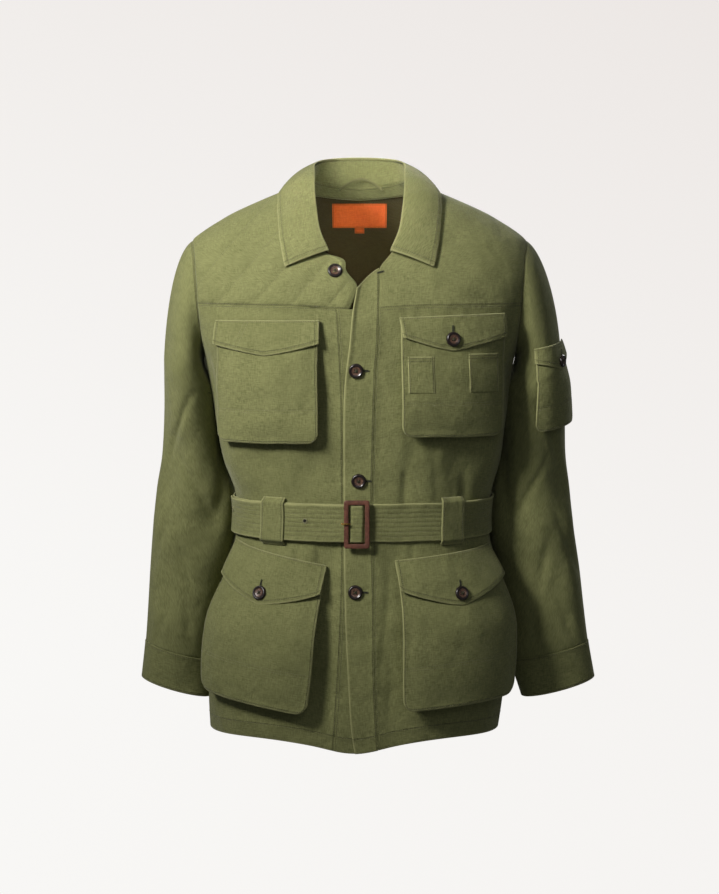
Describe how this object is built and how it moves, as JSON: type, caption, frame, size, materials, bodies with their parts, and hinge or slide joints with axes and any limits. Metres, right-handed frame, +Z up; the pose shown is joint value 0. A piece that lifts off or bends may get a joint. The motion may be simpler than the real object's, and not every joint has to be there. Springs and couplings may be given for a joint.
{
  "type": "safari jacket",
  "caption": "Belted safari jacket in olive cloth, filled out as worn: point collar, button front, bellows pockets with pointed flaps, quilted right yoke and a sleeve pocket.",
  "frame": {"origin": "middle of the neck's base, where the wearer's neck and shoulders hold the jacket", "axes": "+Z up along the wearer, +X to the wearer's left, front facing -Y"},
  "size_m": [0.6497, 0.297, 0.8109],
  "materials": {
    "olive_cloth": "matte plain weave of uneven linen-like yarn, top-stitched",
    "horn": "satin, dark brown with lighter clouds",
    "leather": "satin, reddish brown",
    "brass": "satin",
    "label_cloth": "matte, bare"
  },
  "bodies": {
    "root": {"front_left": "olive_cloth", "front_right": "olive_cloth", "yoke_left": "olive_cloth", "yoke_right": "olive_cloth", "back": "olive_cloth", "placket": "olive_cloth", "underlap": "olive_cloth", "collar_stand": "olive_cloth", "collar_fall": "olive_cloth", "sleeve_left": "olive_cloth", "sleeve_right": "olive_cloth", "cuff_left": "olive_cloth", "cuff_right": "olive_cloth", "chest_bag_left": "olive_cloth", "chest_bag_right": "olive_cloth", "chest_flap_left": "olive_cloth", "chest_flap_right": "olive_cloth", "lower_bag_left": "olive_cloth", "lower_bag_right": "olive_cloth", "lower_flap_left": "olive_cloth", "lower_flap_right": "olive_cloth", "pen_pocket_inner": "olive_cloth", "pen_pocket_outer": "olive_cloth", "sleeve_bag": "olive_cloth", "sleeve_flap": "olive_cloth", "belt": "olive_cloth", "belt_end": "olive_cloth", "belt_loop_front_left": "olive_cloth", "belt_loop_front_right": "olive_cloth", "belt_loop_back_left": "olive_cloth", "belt_loop_back_right": "olive_cloth", "eyelet_1": "olive_cloth", "eyelet_2": "olive_cloth", "hanger_loop": "olive_cloth", "neck_facing": "olive_cloth", "buckle": "leather", "prong": "brass", "neck_label": "label_cloth", "size_tab": "label_cloth", "button_front_1": "horn", "button_front_2": "horn", "button_front_3": "horn", "button_front_4": "horn", "button_chest_left": "horn", "button_lower_left": "horn", "button_lower_right": "horn", "button_sleeve": "horn"}
  },
  "joints": []
}
